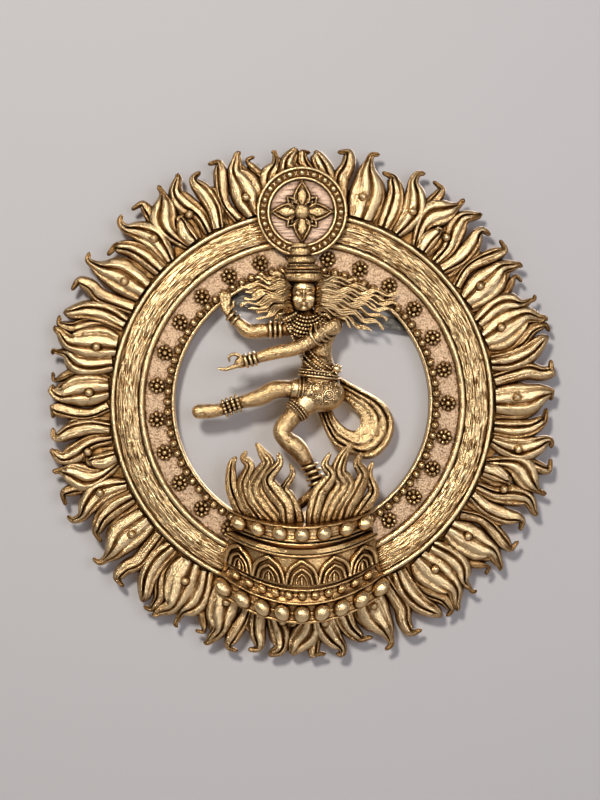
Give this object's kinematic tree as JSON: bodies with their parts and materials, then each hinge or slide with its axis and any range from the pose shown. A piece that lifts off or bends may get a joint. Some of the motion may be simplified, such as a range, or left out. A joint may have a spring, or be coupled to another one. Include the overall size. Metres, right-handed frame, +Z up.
{
  "type": "wall-hung brass nataraja plaque",
  "caption": "Round brass wall plaque: a dancing figure on a lotus pedestal inside a ring of flames, with a folding hanging loop.",
  "frame": {"origin": "centre of the ring, on the wall plane", "axes": "+Z up, +Y into the wall, -Y out of the face, +X to the viewer's right"},
  "size_m": [0.4094, 0.0576, 0.4129],
  "materials": {
    "antique_brass": "cast brass, darkened in the hollows and rubbed bright on the high spots",
    "stippled_brass": "punched matt ground, patinated",
    "steel": "zinc-plated fixings"
  },
  "bodies": {
    "plaque": {"anklet_raised": "antique_brass", "anklet_standing": "antique_brass", "arm_front": "antique_brass", "arm_raised": "antique_brass", "armlet_front": "antique_brass", "armlet_raised": "antique_brass", "bead_wire": "antique_brass", "belt": "antique_brass", "bracelet_front": "antique_brass", "bracelet_raised": "antique_brass", "collar": "antique_brass", "crossbar": "steel", "crossbar_screw_1": "steel", "crossbar_screw_2": "steel", "dhoti": "antique_brass", "figure_screw": "steel", "flame_screw_1": "steel", "flame_screw_2": "steel", "flame_screw_3": "steel", "flame_screw_4": "steel", "flame_screw_5": "steel", "flame_segment_1": "antique_brass", "flame_segment_2": "antique_brass", "flame_segment_3": "antique_brass", "flame_segment_4": "antique_brass", "flame_segment_5": "antique_brass", "grain_band": "antique_brass", "hair_left": "antique_brass", "hair_right": "antique_brass", "halo_beading": "antique_brass", "halo_disc": "antique_brass", "halo_petals": "antique_brass", "halo_screw": "steel", "hanger_screw_1": "steel", "hanger_screw_2": "steel", "hanger_strap": "steel", "head": "antique_brass", "inner_lip": "antique_brass", "inner_rim": "antique_brass", "leg_raised": "antique_brass", "leg_standing": "antique_brass", "lotus_petals": "antique_brass", "lower_beads": "antique_brass", "outer_rim": "antique_brass", "pedestal_apron": "antique_brass", "pedestal_body": "antique_brass", "pedestal_fire_left": "antique_brass", "pedestal_fire_right": "antique_brass", "pedestal_plate": "antique_brass", "pedestal_screw_1": "steel", "pedestal_screw_2": "steel", "ring_casting": "antique_brass", "rosette_garland": "antique_brass", "sash": "antique_brass", "small_beads": "antique_brass", "stippled_band": "stippled_brass", "topknot": "antique_brass", "torso": "antique_brass", "upper_beads": "antique_brass"},
    "hanging_loop": {"hanger_loop": "steel"}
  },
  "joints": [
    {"name": "hanging_loop_hinge", "type": "hinge", "parent": "plaque", "child": "hanging_loop", "pos_m": [0, -0.00595, 0.1185], "axis": [-1, 0, 0], "range_deg": [0, 175]}
  ]
}
